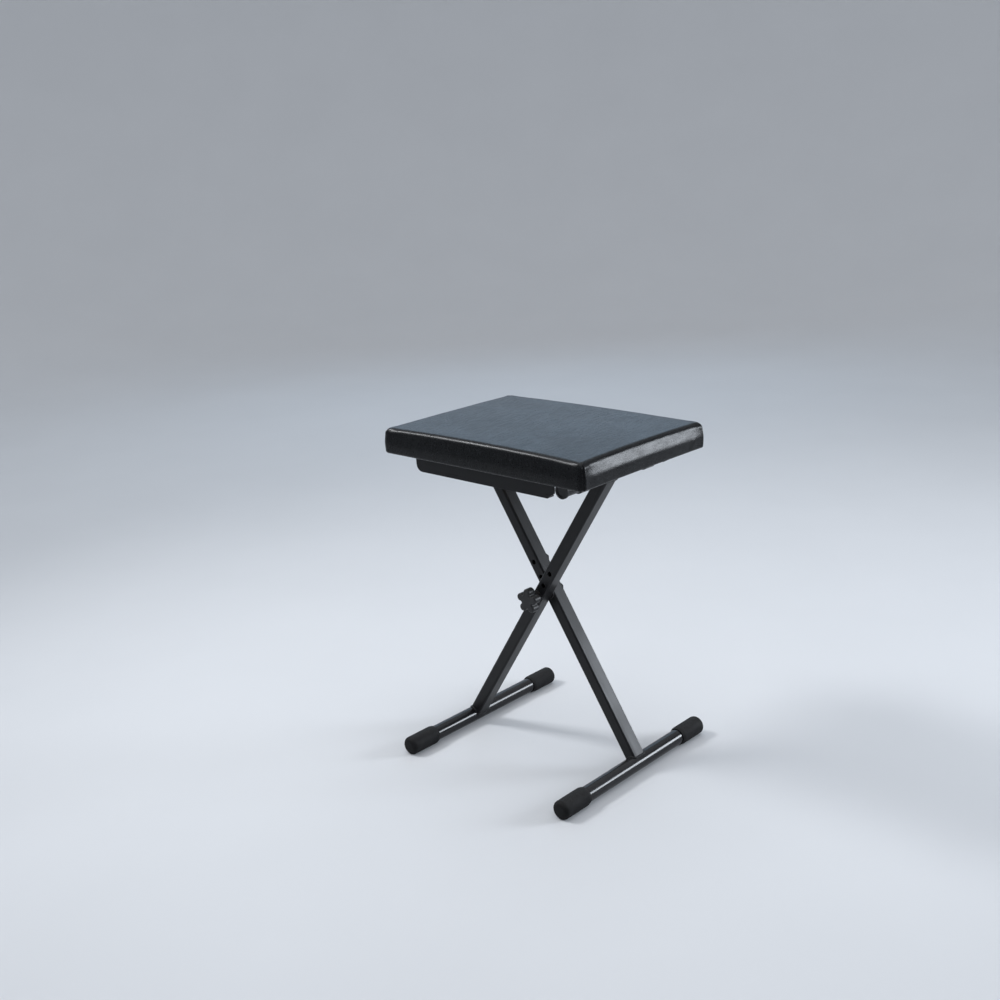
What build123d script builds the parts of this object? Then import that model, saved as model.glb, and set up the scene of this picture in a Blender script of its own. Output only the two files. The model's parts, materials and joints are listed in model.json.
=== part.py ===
"""Folding keyboard bench with crossed legs, in millimetres.

+X runs along the seat to the right, the front faces -Y and +Z is up. The origin is on the floor under the
middle of the seat. The seat hangs on two bars: the hinge bar on the right turns in saddles under the board,
and the slide bar on the left runs in two rails, whose closed ends hold the legs open.
"""

from build123d import *
import math
import os

os.makedirs("parts", exist_ok=True)

# Seat
SEAT_LENGTH = 400.0
SEAT_WIDTH = 290.0
SEAT_HEIGHT = 540.0
FOAM_THICKNESS = 28.6
BOARD_THICKNESS = 12.0
COVER_THICKNESS = 1.2
CROWN_RISE = 4.0
SIDE_DRAW = 1.5
SEAT_CORNER_RADIUS = 10.0
SEAT_EDGE_RADIUS = 6.0
HEM_WIDTH = 22.0
STAPLE_CROWN = 10.0
STAPLE_WIRE = 0.8
STAPLE_PITCH = 34.0
STAPLE_SETBACK = 12.0

# Crossed legs
BAR_INSET = 60.0
FOOT_SPACING = 322.0
LEG_WIDTH = 20.0
LEG_DEPTH = 25.0
LEG_WALL = 1.5
LEG_CORNER_RADIUS = 3.0
LEG_GAP = 2.0
COPE_HORN = 4.0
BAR_DIAMETER = 20.0
BAR_WALL = 1.5
FOOT_LENGTH = 350.0
FOOT_DIAMETER = 25.0
FOOT_WALL = 1.5

# Rubber foot caps
CAP_WALL = 2.5
CAP_LENGTH = 58.0
CAP_END = 5.0
CAP_END_ROUND = 7.0
CAP_RIM_WALL = 1.2
CAP_RIM_LENGTH = 5.0
CAP_TREAD_DEPTH = 0.8

# Slide rails and shoes
RAIL_TO_HEM = 4.0
RAIL_WALL = 2.0
RAIL_FLANGE = 30.0
RAIL_LIP = 14.0
RAIL_CORNER_RADIUS = 12.0
RAIL_TAPER_LENGTH = 13.0
RAIL_TAPER_HEIGHT = 9.0
RAIL_TO_PLUG = 2.0
SHOE_WALL = 2.5
SHOE_LENGTH = 12.0
SHOE_END = 2.0

# Hinge bar fittings
PLUG_OVERHANG = 1.5
PLUG_HEAD = 4.0
PLUG_SPIGOT = 14.0
PLUG_RIM = 3.0
PLUG_DISH = 1.2
STRAP_TO_RAIL = 4.0
STRAP_WIDTH = 20.0
STRAP_THICKNESS = 2.0
STRAP_EAR = 16.0
SADDLE_LIFT = 3.0

# Screws in the board
SCREW_DIAMETER = 4.0
SCREW_COVER = 3.0
SCREW_HEAD_DIAMETER = 8.0
SCREW_HEAD = 2.4
RAIL_SCREWS = 3
RAIL_SCREW_MARGIN = 34.0
RAIL_SCREW_EDGE = 8.0

# Pivot, knob and height holes
BOLT_DIAMETER = 8.0
BOLT_PROUD = 3.0
BOLT_SOCKET = 12.0
HEIGHT_HOLE_PITCH = 26.0
SPARE_HOLES = 2
NUT_ACROSS_FLATS = 13.0
NUT_HEIGHT = 4.0
SPACER_DIAMETER = 24.0
WASHER_DIAMETER = 22.0
WASHER_THICKNESS = 1.6
KNOB_DIAMETER = 40.0
KNOB_LOBES = 5
KNOB_LOBE_RADIUS = 6.2
KNOB_VALLEY_RADIUS = 11.5
KNOB_GRIP = 15.0
KNOB_EDGE_RADIUS = 2.5
KNOB_NECK = 9.0
KNOB_NECK_DIAMETER = 18.0

# Clearances, radial on round fits
SLIDE_CLEARANCE = 0.3
HINGE_CLEARANCE = 0.05
BOLT_CLEARANCE = 0.08
PUSH_FIT = 0.05
SCREW_HOLE_CLEARANCE = 0.25

# Sizes that follow
BAR_SPACING = SEAT_LENGTH - 2 * BAR_INSET
CAP_DIAMETER = FOOT_DIAMETER + 2 * CAP_WALL
SHOE_DIAMETER = BAR_DIAMETER + 2 * SHOE_WALL
PLUG_DIAMETER = BAR_DIAMETER + 2 * PLUG_OVERHANG
RAIL_DEPTH = 2 * RAIL_WALL + SHOE_DIAMETER + 2 * SLIDE_CLEARANCE
SCREW_BITE = BOARD_THICKNESS - SCREW_COVER

# Heights that follow
BOARD_TOP = SEAT_HEIGHT - COVER_THICKNESS - FOAM_THICKNESS
BOARD_UNDER = BOARD_TOP - BOARD_THICKNESS
SEAT_UNDER = BOARD_UNDER - COVER_THICKNESS
BAR_Z = BOARD_UNDER - RAIL_DEPTH / 2
FOOT_Z = CAP_DIAMETER / 2 - CAP_TREAD_DEPTH

# Places that follow
HINGE_X = BAR_SPACING / 2
SLIDE_X = -BAR_SPACING / 2
LEG_RUN = (BAR_SPACING + FOOT_SPACING) / 2
LEG_RISE = BAR_Z - FOOT_Z
LEG_LENGTH = math.hypot(LEG_RUN, LEG_RISE)
LEG_LEAN = math.atan2(LEG_RUN, LEG_RISE)
PIVOT_Z = BAR_Z - LEG_RISE * HINGE_X / LEG_RUN
RAIL_Y = SEAT_WIDTH / 2 - HEM_WIDTH - RAIL_TO_HEM
STRAP_Y = RAIL_Y - RAIL_FLANGE - STRAP_TO_RAIL - STRAP_WIDTH / 2
RAIL_LEFT = SLIDE_X - SHOE_DIAMETER / 2 - SLIDE_CLEARANCE - RAIL_WALL
RAIL_RIGHT = HINGE_X - PLUG_DIAMETER / 2 - RAIL_TO_PLUG
FRONT_FACE_Y = -LEG_GAP / 2 - LEG_DEPTH
BACK_FACE_Y = LEG_GAP / 2 + LEG_DEPTH

# Which way a short cylinder or box grows from its place
UPWARD = (Align.CENTER, Align.CENTER, Align.MIN)
DOWNWARD = (Align.CENTER, Align.CENTER, Align.MAX)


def export_node(name, *solids):
    """Write one node, as a solid or as a group of separate solids."""
    shape = solids[0] if len(solids) == 1 else Compound(children=list(solids))
    export_step(shape, f"parts/{name}.step")


def rod(diameter, y_start, y_end, x, z):
    """A round bar along Y."""
    length = y_end - y_start
    return Pos(x, (y_start + y_end) / 2, z) * Rot(90, 0, 0) * Cylinder(diameter / 2, length)


def tube(diameter, wall, half_length, x, z):
    """A round tube along Y, centred on the middle of the bench."""
    outside = rod(diameter, -half_length, half_length, x, z)
    return outside - rod(diameter - 2 * wall, -half_length, half_length, x, z)


def block(x_range, y_range, z_range):
    """A box between two corners."""
    size = [end - start for start, end in (x_range, y_range, z_range)]
    middle = [(start + end) / 2 for start, end in (x_range, y_range, z_range)]
    return Pos(*middle) * Box(*size)


# Seat
def cushion_form(inset, underside):
    """The crowned cushion, drawn in along its sides, with every outer face moved inward by inset."""
    half_x = SEAT_LENGTH / 2 - inset
    half_y = SEAT_WIDTH / 2 - inset
    outline = (
        ThreePointArc((-half_x, -half_y), (0, SIDE_DRAW - half_y), (half_x, -half_y))
        + ThreePointArc((half_x, -half_y), (half_x - SIDE_DRAW, 0), (half_x, half_y))
        + ThreePointArc((half_x, half_y), (0, half_y - SIDE_DRAW), (-half_x, half_y))
        + ThreePointArc((-half_x, half_y), (SIDE_DRAW - half_x, 0), (-half_x, -half_y))
    )
    plan = make_face(outline.edges())
    plan = fillet(plan.vertices(), SEAT_CORNER_RADIUS - inset)
    pad = Pos(0, 0, underside) * extrude(plan, SEAT_HEIGHT - underside)
    reach = math.hypot(SEAT_LENGTH, SEAT_WIDTH) / 2
    crown_radius = (reach**2 + CROWN_RISE**2) / (2 * CROWN_RISE)
    pad = pad & (Pos(0, 0, SEAT_HEIGHT - crown_radius) * Sphere(crown_radius - inset))
    top_edges = pad.faces().sort_by(Axis.Z)[-1].edges()
    return fillet(top_edges, SEAT_EDGE_RADIUS - inset)


def rail_screw_points():
    """Screw places along both rails."""
    start = RAIL_LEFT + RAIL_SCREW_MARGIN
    step = (RAIL_RIGHT - RAIL_SCREW_MARGIN - start) / (RAIL_SCREWS - 1)
    y = RAIL_Y - RAIL_FLANGE + RAIL_SCREW_EDGE
    return [(start + step * i, side * y) for side in (-1, 1) for i in range(RAIL_SCREWS)]


def strap_screw_points():
    """Screw places in the ears of both hinge straps."""
    reach = BAR_DIAMETER / 2 + HINGE_CLEARANCE + STRAP_THICKNESS + STRAP_EAR / 2
    return [(HINGE_X + dx, side * STRAP_Y) for side in (-1, 1) for dx in (-reach, reach)]


def board_screw(x, y, sheet):
    """A pan-head screw that holds a sheet of that thickness to the underside of the board."""
    shank = Cylinder(SCREW_DIAMETER / 2, sheet + SCREW_BITE, align=UPWARD)
    head = Cylinder(SCREW_HEAD_DIAMETER / 2, SCREW_HEAD, align=DOWNWARD)
    return Pos(x, y, BOARD_UNDER - sheet) * (shank + head)


def screw_hole(x, y, clearance):
    """The hole that a board screw goes through, above and below the face of the board."""
    return Pos(x, y, BOARD_UNDER) * Cylinder(SCREW_DIAMETER / 2 + clearance, 2 * SCREW_BITE)


def staple_places():
    """Centre and turn of each staple along the hem."""
    places = []
    for half_run, half_across, turn in (
        (SEAT_LENGTH / 2, SEAT_WIDTH / 2, 0),
        (SEAT_WIDTH / 2, SEAT_LENGTH / 2, 90),
    ):
        count = int(2 * (half_run - HEM_WIDTH) // STAPLE_PITCH) + 1
        for i in range(count):
            along = (i - (count - 1) / 2) * STAPLE_PITCH
            for across in (STAPLE_SETBACK - half_across, half_across - STAPLE_SETBACK):
                places.append((along, across, turn) if turn == 0 else (across, along, turn))
    return places


cushion = cushion_form(COVER_THICKNESS, BOARD_UNDER)
hem_opening = Box(SEAT_LENGTH - 2 * HEM_WIDTH, SEAT_WIDTH - 2 * HEM_WIDTH, 2 * COVER_THICKNESS)
seat_cover = cushion_form(0, SEAT_UNDER) - cushion - Pos(0, 0, SEAT_UNDER) * hem_opening
seat_foam = split(cushion, Plane.XY.offset(BOARD_TOP), keep=Keep.TOP)
seat_board = split(cushion, Plane.XY.offset(BOARD_TOP), keep=Keep.BOTTOM)
for point in rail_screw_points() + strap_screw_points():
    seat_board = seat_board - screw_hole(*point, 0)

staple = Box(STAPLE_CROWN, STAPLE_WIRE, STAPLE_WIRE, align=DOWNWARD)
staples = [Pos(x, y, SEAT_UNDER) * Rot(0, 0, turn) * staple for x, y, turn in staple_places()]


# Slide rails
def slide_rail(side):
    """A channel along one long side: web outside, flange under the board, lip below and a closed left end."""
    rail_top = BOARD_UNDER
    rail_bottom = BOARD_UNDER - RAIL_DEPTH
    web_outline = Polyline(
        (RAIL_LEFT, rail_top),
        (RAIL_LEFT, rail_bottom),
        (RAIL_RIGHT - RAIL_TAPER_LENGTH, rail_bottom),
        (RAIL_RIGHT, rail_bottom + RAIL_TAPER_HEIGHT),
        (RAIL_RIGHT, rail_top),
        close=True,
    )
    web_face = make_face(Plane.XZ * web_outline)
    corner = web_face.vertices().sort_by(Axis.Z)[:2].sort_by(Axis.X)[0]
    web_face = fillet(corner, RAIL_CORNER_RADIUS)
    outer_y = -RAIL_Y
    web = Pos(0, outer_y, 0) * extrude(web_face, RAIL_WALL, dir=(0, 1, 0))
    whole_x = (RAIL_LEFT, RAIL_RIGHT)
    lip_x = (RAIL_LEFT + RAIL_CORNER_RADIUS, RAIL_RIGHT - RAIL_TAPER_LENGTH)
    flange = block(whole_x, (outer_y, outer_y + RAIL_FLANGE), (rail_top - RAIL_WALL, rail_top))
    lip = block(lip_x, (outer_y, outer_y + RAIL_LIP), (rail_bottom, rail_bottom + RAIL_WALL))
    end_x = (RAIL_LEFT, RAIL_LEFT + RAIL_WALL)
    end = block(end_x, (outer_y, outer_y + RAIL_LIP), (rail_bottom + RAIL_CORNER_RADIUS, rail_top))
    rail = web + flange + lip + end
    for x, y in rail_screw_points():
        rail = rail - screw_hole(x, y, SCREW_HOLE_CLEARANCE)
    return rail if side < 0 else mirror(rail, about=Plane.XZ)


# Hinge fittings under the board
def hinge_saddle(y):
    """The plastic block between the hinge bar and the board."""
    half = BAR_DIAMETER / 2 + HINGE_CLEARANCE
    saddle = block(
        (HINGE_X - half, HINGE_X + half),
        (y - STRAP_WIDTH / 2, y + STRAP_WIDTH / 2),
        (BAR_Z + SADDLE_LIFT, BOARD_UNDER),
    )
    return saddle - rod(2 * half, y - STRAP_WIDTH, y + STRAP_WIDTH, HINGE_X, BAR_Z)


def hinge_strap(y):
    """The steel strap that passes under the hinge bar, with an ear on each side."""
    y_range = (y - STRAP_WIDTH / 2, y + STRAP_WIDTH / 2)
    inner = BAR_DIAMETER / 2 + HINGE_CLEARANCE
    outer = inner + STRAP_THICKNESS
    reach = outer + STRAP_EAR
    upright = (BAR_Z, BOARD_UNDER)
    strap = rod(2 * outer, *y_range, HINGE_X, BAR_Z)
    strap = strap + block((HINGE_X - outer, HINGE_X + outer), y_range, upright)
    ear_sheet = (BOARD_UNDER - STRAP_THICKNESS, BOARD_UNDER)
    strap = strap + block((HINGE_X - reach, HINGE_X + reach), y_range, ear_sheet)
    strap = strap - rod(2 * inner, *y_range, HINGE_X, BAR_Z)
    strap = strap - block((HINGE_X - inner, HINGE_X + inner), y_range, upright)
    for point in strap_screw_points():
        strap = strap - screw_hole(*point, SCREW_HOLE_CLEARANCE)
    return strap


# Legs and feet
def leg_point(side, above_pivot):
    """X and Z of a point on a leg's centre line, measured from the pivot towards its bar."""
    return side * above_pivot * math.sin(LEG_LEAN), PIVOT_Z + above_pivot * math.cos(LEG_LEAN)


def leg_tube(side, y):
    """A rectangular tube coped on to its bar and its foot, with the pivot hole and the spare height holes."""
    direction = (-side * math.sin(LEG_LEAN), 0, -math.cos(LEG_LEAN))
    across = (math.cos(LEG_LEAN), 0, -side * math.sin(LEG_LEAN))
    top = Plane((side * HINGE_X, y, BAR_Z), x_dir=across, z_dir=direction).offset(COPE_HORN)
    outside = RectangleRounded(LEG_WIDTH, LEG_DEPTH, LEG_CORNER_RADIUS)
    bore_width = LEG_WIDTH - 2 * LEG_WALL
    bore_depth = LEG_DEPTH - 2 * LEG_WALL
    inside = RectangleRounded(bore_width, bore_depth, LEG_CORNER_RADIUS - LEG_WALL)
    leg = extrude(top * (outside - inside), LEG_LENGTH - COPE_HORN)
    y_range = (y - LEG_DEPTH, y + LEG_DEPTH)
    leg = leg - rod(BAR_DIAMETER, *y_range, side * HINGE_X, BAR_Z)
    leg = leg - rod(FOOT_DIAMETER, *y_range, -side * FOOT_SPACING / 2, FOOT_Z)
    for i in range(SPARE_HOLES + 1):
        x, z = leg_point(side, i * HEIGHT_HOLE_PITCH)
        leg = leg - rod(BOLT_DIAMETER + 2 * BOLT_CLEARANCE, *y_range, x, z)
    return leg


def foot_cap(x, side):
    """A rubber cup pushed on to the end of a foot tube, with a flat tread."""
    bore = FOOT_DIAMETER / 2 + PUSH_FIT
    outer = CAP_DIAMETER / 2
    shoulder = CAP_LENGTH - CAP_END_ROUND
    bend = CAP_END_ROUND * math.sqrt(0.5)
    outline = (
        Polyline((bore, 0), (bore + CAP_RIM_WALL, 0), (outer, CAP_RIM_LENGTH), (outer, shoulder))
        + ThreePointArc(
            (outer, shoulder),
            (outer - CAP_END_ROUND + bend, shoulder + bend),
            (outer - CAP_END_ROUND, CAP_LENGTH),
        )
        + Polyline(
            (outer - CAP_END_ROUND, CAP_LENGTH),
            (0, CAP_LENGTH),
            (0, CAP_LENGTH - CAP_END),
            (bore, CAP_LENGTH - CAP_END),
            (bore, 0),
        )
    )
    cap = revolve(make_face(outline.edges()), Axis.Y)
    if side < 0:
        cap = mirror(cap, about=Plane.XZ)
    cap = Pos(x, side * (FOOT_LENGTH / 2 - CAP_LENGTH), FOOT_Z) * cap
    below = block((x - outer, x + outer), (-FOOT_LENGTH, FOOT_LENGTH), (-CAP_DIAMETER, 0))
    return cap - below


def bar_plug(side):
    """The dished plug in one end of the hinge bar."""
    seat_y = RAIL_Y - PLUG_HEAD
    spigot = BAR_DIAMETER - 2 * BAR_WALL - 2 * PUSH_FIT
    plug = rod(PLUG_DIAMETER, seat_y, RAIL_Y, HINGE_X, BAR_Z)
    plug = plug + rod(spigot, seat_y - PLUG_SPIGOT, seat_y, HINGE_X, BAR_Z)
    plug = plug - rod(PLUG_DIAMETER - 2 * PLUG_RIM, RAIL_Y - PLUG_DISH, RAIL_Y, HINGE_X, BAR_Z)
    return plug if side > 0 else mirror(plug, about=Plane.XZ)


def slide_shoe(side):
    """The plastic cup on one end of the slide bar, which runs in a rail."""
    end_y = RAIL_Y - RAIL_WALL - SLIDE_CLEARANCE
    shoe = rod(SHOE_DIAMETER, end_y - SHOE_LENGTH, end_y, SLIDE_X, BAR_Z)
    shoe = shoe - rod(BAR_DIAMETER + 2 * PUSH_FIT, end_y - SHOE_LENGTH, end_y - SHOE_END, SLIDE_X, BAR_Z)
    return shoe if side > 0 else mirror(shoe, about=Plane.XZ)


# Pivot and knob
def pivot_ring(diameter, y_start, y_end):
    """A ring round the pivot bolt."""
    hole = BOLT_DIAMETER + 2 * BOLT_CLEARANCE
    return rod(diameter, y_start, y_end, 0, PIVOT_Z) - rod(hole, y_start, y_end, 0, PIVOT_Z)


def weld_nut(above_pivot):
    """A nut on the far face of the back leg, behind one of its holes."""
    x, z = leg_point(-1, above_pivot)
    hexagon = RegularPolygon(NUT_ACROSS_FLATS / 2, 6, major_radius=False)
    turned = Rot(0, -math.degrees(LEG_LEAN), 0) * Rot(-90, 0, 0) * extrude(hexagon, NUT_HEIGHT)
    nut = Pos(x, BACK_FACE_Y, z) * turned
    return nut - rod(BOLT_DIAMETER + 2 * BOLT_CLEARANCE, BACK_FACE_Y, BACK_FACE_Y + NUT_HEIGHT, x, z)


def polar(radius, angle):
    """A point at that radius, with the angle measured from +Y."""
    return radius * math.sin(angle), radius * math.cos(angle)


def star_outline():
    """Round lobes joined by round valleys that meet them without a corner."""
    half_step = math.pi / KNOB_LOBES
    lobe_at = KNOB_DIAMETER / 2 - KNOB_LOBE_RADIUS
    reach = lobe_at * math.cos(half_step)
    valley = KNOB_VALLEY_RADIUS**2 - 2 * KNOB_VALLEY_RADIUS * reach + lobe_at**2 - KNOB_LOBE_RADIUS**2
    valley = valley / (2 * (reach + KNOB_LOBE_RADIUS - KNOB_VALLEY_RADIUS))
    valley_at = KNOB_VALLEY_RADIUS + valley
    share = KNOB_LOBE_RADIUS / (KNOB_LOBE_RADIUS + valley)

    def meeting(lobe, valley_angle):
        start = Vector(*polar(lobe_at, lobe))
        return start + (Vector(*polar(valley_at, valley_angle)) - start) * share

    edges = []
    for i in range(KNOB_LOBES):
        lobe = 2 * half_step * i
        before = meeting(lobe, lobe - half_step)
        after = meeting(lobe, lobe + half_step)
        onward = meeting(lobe + 2 * half_step, lobe + half_step)
        edges.append(ThreePointArc(before, polar(KNOB_DIAMETER / 2, lobe), after))
        edges.append(ThreePointArc(after, polar(KNOB_VALLEY_RADIUS, lobe + half_step), onward))
    return make_face(edges)


def star_knob():
    """The five-lobed knob, moulded round the end of the bolt."""
    grip = extrude(star_outline(), KNOB_GRIP)
    ends = grip.faces().sort_by(Axis.Z)
    grip = fillet(ends[0].edges() + ends[-1].edges(), KNOB_EDGE_RADIUS)
    neck = Cylinder(KNOB_NECK_DIAMETER / 2, KNOB_NECK + KNOB_GRIP / 2, align=UPWARD)
    socket = Cylinder(BOLT_DIAMETER / 2, BOLT_SOCKET, align=UPWARD)
    knob = neck + Pos(0, 0, KNOB_NECK) * grip - socket
    return Pos(0, FRONT_FACE_Y - WASHER_THICKNESS, PIVOT_Z) * Rot(90, 0, 0) * knob


def pivot_bolt():
    """The bolt through both legs, from the socket in the knob to beyond the nut."""
    start = FRONT_FACE_Y - WASHER_THICKNESS - BOLT_SOCKET
    return rod(BOLT_DIAMETER, start, BACK_FACE_Y + NUT_HEIGHT + BOLT_PROUD, 0, PIVOT_Z)


# Seat nodes
export_node("seat_cover", seat_cover)
export_node("seat_foam", seat_foam)
export_node("seat_board", seat_board)
export_node("cover_staples", *staples)
export_node("rail_front", slide_rail(-1))
export_node("rail_back", slide_rail(1))
export_node("rail_screws", *[board_screw(x, y, RAIL_WALL) for x, y in rail_screw_points()])
for side, place in ((-1, "front"), (1, "back")):
    export_node(f"hinge_saddle_{place}", hinge_saddle(side * STRAP_Y))
    export_node(f"hinge_strap_{place}", hinge_strap(side * STRAP_Y))
export_node("strap_screws", *[board_screw(x, y, STRAP_THICKNESS) for x, y in strap_screw_points()])

# Front leg nodes, from the hinge bar on the right to the left foot
export_node("front_leg_tube", leg_tube(1, (FRONT_FACE_Y - LEG_GAP / 2) / 2))
export_node("hinge_bar", tube(BAR_DIAMETER, BAR_WALL, RAIL_Y - PLUG_HEAD, HINGE_X, BAR_Z))
export_node("hinge_bar_plugs", bar_plug(-1), bar_plug(1))

# Back leg nodes, from the slide bar on the left to the right foot
shoe_seat = RAIL_Y - RAIL_WALL - SLIDE_CLEARANCE - SHOE_END
export_node("back_leg_tube", leg_tube(-1, (BACK_FACE_Y + LEG_GAP / 2) / 2))
export_node("slide_bar", tube(BAR_DIAMETER, BAR_WALL, shoe_seat, SLIDE_X, BAR_Z))
export_node("slide_shoes", slide_shoe(-1), slide_shoe(1))
export_node("weld_nuts", *[weld_nut(i * HEIGHT_HOLE_PITCH) for i in range(SPARE_HOLES + 1)])
export_node("pivot_spacer", pivot_ring(SPACER_DIAMETER, -LEG_GAP / 2, LEG_GAP / 2))

# Foot nodes
for x, hand in ((-FOOT_SPACING / 2, "left"), (FOOT_SPACING / 2, "right")):
    export_node(f"{hand}_foot_tube", tube(FOOT_DIAMETER, FOOT_WALL, FOOT_LENGTH / 2 - CAP_END, x, FOOT_Z))
    export_node(f"{hand}_foot_cap_front", foot_cap(x, -1))
    export_node(f"{hand}_foot_cap_back", foot_cap(x, 1))

# Pivot nodes
export_node("knob_washer", pivot_ring(WASHER_DIAMETER, FRONT_FACE_Y - WASHER_THICKNESS, FRONT_FACE_Y))
export_node("star_knob", star_knob())
export_node("pivot_bolt", pivot_bolt())
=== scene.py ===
# %% [markdown]
# # A folding keyboard bench
# The real bench is a padded board on two crossed steel legs. A star knob clamps the crossing, and each leg
# stands on a long round foot with rubber caps. The rigid pieces come from a CAD model, in metres, and stay as
# they are. Blender adds what the CAD lacks: a puffed cover with folded corners, weld beads, and finishes that
# catch the light.

import json
import math

import bpy
import numpy as np
from mathutils import Matrix, Vector, noise


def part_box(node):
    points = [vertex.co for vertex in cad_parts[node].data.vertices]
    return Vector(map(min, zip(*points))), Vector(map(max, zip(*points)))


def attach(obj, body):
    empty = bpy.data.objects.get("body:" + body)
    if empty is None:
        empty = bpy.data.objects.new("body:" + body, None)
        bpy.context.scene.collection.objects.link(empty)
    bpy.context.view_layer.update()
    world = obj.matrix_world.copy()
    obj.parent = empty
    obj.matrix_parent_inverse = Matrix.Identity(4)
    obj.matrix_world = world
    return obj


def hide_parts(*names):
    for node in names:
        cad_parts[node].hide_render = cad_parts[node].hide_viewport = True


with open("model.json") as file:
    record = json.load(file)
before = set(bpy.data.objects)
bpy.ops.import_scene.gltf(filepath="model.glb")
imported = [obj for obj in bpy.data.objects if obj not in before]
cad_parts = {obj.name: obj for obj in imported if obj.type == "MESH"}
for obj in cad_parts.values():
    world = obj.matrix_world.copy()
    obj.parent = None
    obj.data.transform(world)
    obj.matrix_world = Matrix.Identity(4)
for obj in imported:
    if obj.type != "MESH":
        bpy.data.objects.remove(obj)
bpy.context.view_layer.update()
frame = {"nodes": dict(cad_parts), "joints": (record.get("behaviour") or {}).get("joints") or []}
scene = bpy.context.scene
nodes = frame["nodes"]
MM = 0.001

# %% [markdown]
# ## Where things are
# The places of the pieces could be typed in, but they are read from the CAD, so this file still fits when a
# size changes there. The two hinges give the lean of the legs: one is at the top of the front leg, the other
# where the legs cross.

# %% Measure the frame
joints = {joint["name"]: Vector(joint["pos_m"]) for joint in frame["joints"] if "pos_m" in joint}
HINGE = joints["frame_fold"]
PIVOT = joints["leg_scissor"]
LEAN = math.atan2(HINGE.x - PIVOT.x, HINGE.z - PIVOT.z)


def middle(node):
    """The middle of a CAD node's box."""
    low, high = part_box(node)
    return (low + high) / 2


def span(node):
    """The size of a CAD node's box along each axis."""
    low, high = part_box(node)
    return high - low


print("legs lean", round(math.degrees(LEAN), 2), "degrees, pivot", round(PIVOT.z / MM), "mm up")

# %% [markdown]
# ## A short way to write shader nodes
# A material is a graph of nodes. Each node could be made with three or four lines of Python, which hides the
# idea behind the typing. These helpers make a node and feed its sockets in one line: a value is typed in,
# and a socket is linked.


# %% Node helpers
def add(tree, kind, inputs=(), **settings):
    """Add a node. An input is a plain value, or the socket that feeds it."""
    made = tree.nodes.new("ShaderNode" + kind)
    for key, value in settings.items():
        setattr(made, key, value)
    for key, value in dict(inputs).items():
        if isinstance(value, bpy.types.NodeSocket):
            tree.links.new(value, made.inputs[key])
        else:
            made.inputs[key].default_value = value
    return made


def calc(tree, operation, *values):
    """One step of arithmetic."""
    return add(tree, "Math", enumerate(values), operation=operation).outputs[0]


def spread(tree, value, low, high, start=0.0, end=1.0):
    """Stretch a value from start..end to low..high."""
    limits = {"Value": value, "From Min": start, "From Max": end, "To Min": low, "To Max": high}
    return add(tree, "MapRange", limits).outputs["Result"]


def tint(tree, share, first, second):
    """Mix two colours by a share."""
    mixer = add(tree, "Mix", {0: share}, data_type="RGBA")
    for index, colour in ((6, first), (7, second)):
        if isinstance(colour, bpy.types.NodeSocket):
            tree.links.new(colour, mixer.inputs[index])
        else:
            mixer.inputs[index].default_value = (*colour, 1)
    return mixer.outputs[2]


def start_group(name, inputs, outputs):
    """A new node group with named sockets, and the sockets that bring its inputs in."""
    group = bpy.data.node_groups.new(name, "ShaderNodeTree")
    for label, value in inputs.items():
        socket = group.interface.new_socket(label, in_out="INPUT", socket_type="NodeSocketFloat")
        socket.default_value = value
    for label, kind in outputs.items():
        group.interface.new_socket(label, in_out="OUTPUT", socket_type="NodeSocket" + kind)
    return group, group.nodes.new("NodeGroupInput").outputs


def end_group(group, results):
    """Feed the group's output sockets."""
    out = group.nodes.new("NodeGroupOutput")
    for label, socket in results.items():
        group.links.new(socket, out.inputs[label])
    print("node group", group.name, "with", len(group.nodes), "nodes")


def use_group(tree, group, **values):
    """Place a group in a material with its own values."""
    placed = tree.nodes.new("ShaderNodeGroup")
    placed.node_tree = group
    for label, value in values.items():
        placed.inputs[label.replace("_", " ")].default_value = value
    return placed.outputs


def start_material(name, **values):
    """A material with one Principled shader, whose plain values are set on its own sockets."""
    material = bpy.data.materials.new(name)
    material.use_nodes = True
    tree = material.node_tree
    tree.nodes.clear()
    inputs = {label.replace("_", " "): value for label, value in values.items()}
    shader = add(tree, "BsdfPrincipled", inputs)
    add(tree, "OutputMaterial", {"Surface": shader.outputs[0]})
    return material, tree, shader


def feed(tree, shader, **sockets):
    """Link sockets to the shader's inputs."""
    for label, socket in sockets.items():
        tree.links.new(socket, shader.inputs[label.replace("_", " ")])


# %% [markdown]
# ## Effect 1: softened and rubbed edges
# Sheet steel and mouldings never end in a knife edge. A real bevel could be cut into each piece, but a CAD
# mesh is left alone here. The Bevel node looks round the corner instead: its normal turns over the edge, and
# the angle between that normal and the true one shows where an edge is, so paint can be rubbed there.

# %% Group: edge wear
edge_wear, given = start_group(
    "edge wear", {"Radius": 0.6 * MM, "Rub": 0.5}, {"Wear": "Float", "Normal": "Vector"}
)
rounded = add(edge_wear, "Bevel", {"Radius": given["Radius"]}, samples=6)
own_normal = add(edge_wear, "NewGeometry").outputs["Normal"]
turn = add(edge_wear, "VectorMath", {0: rounded.outputs[0], 1: own_normal}, operation="DOT_PRODUCT")
bend = calc(edge_wear, "SUBTRACT", 1.0, turn.outputs["Value"])
edge = spread(edge_wear, bend, 0.0, 1.0, start=0.02, end=0.22)
where = add(edge_wear, "TexCoord").outputs["Object"]
patchy = add(edge_wear, "TexNoise", {"Vector": where, "Scale": 70.0, "Detail": 5.0, "Roughness": 0.65})
patch = spread(edge_wear, patchy.outputs["Fac"], 0.0, 1.0, start=0.46, end=0.64)
rubbed = calc(edge_wear, "MULTIPLY", calc(edge_wear, "MULTIPLY", edge, patch), given["Rub"])
end_group(edge_wear, {"Wear": rubbed, "Normal": rounded.outputs[0]})

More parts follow.
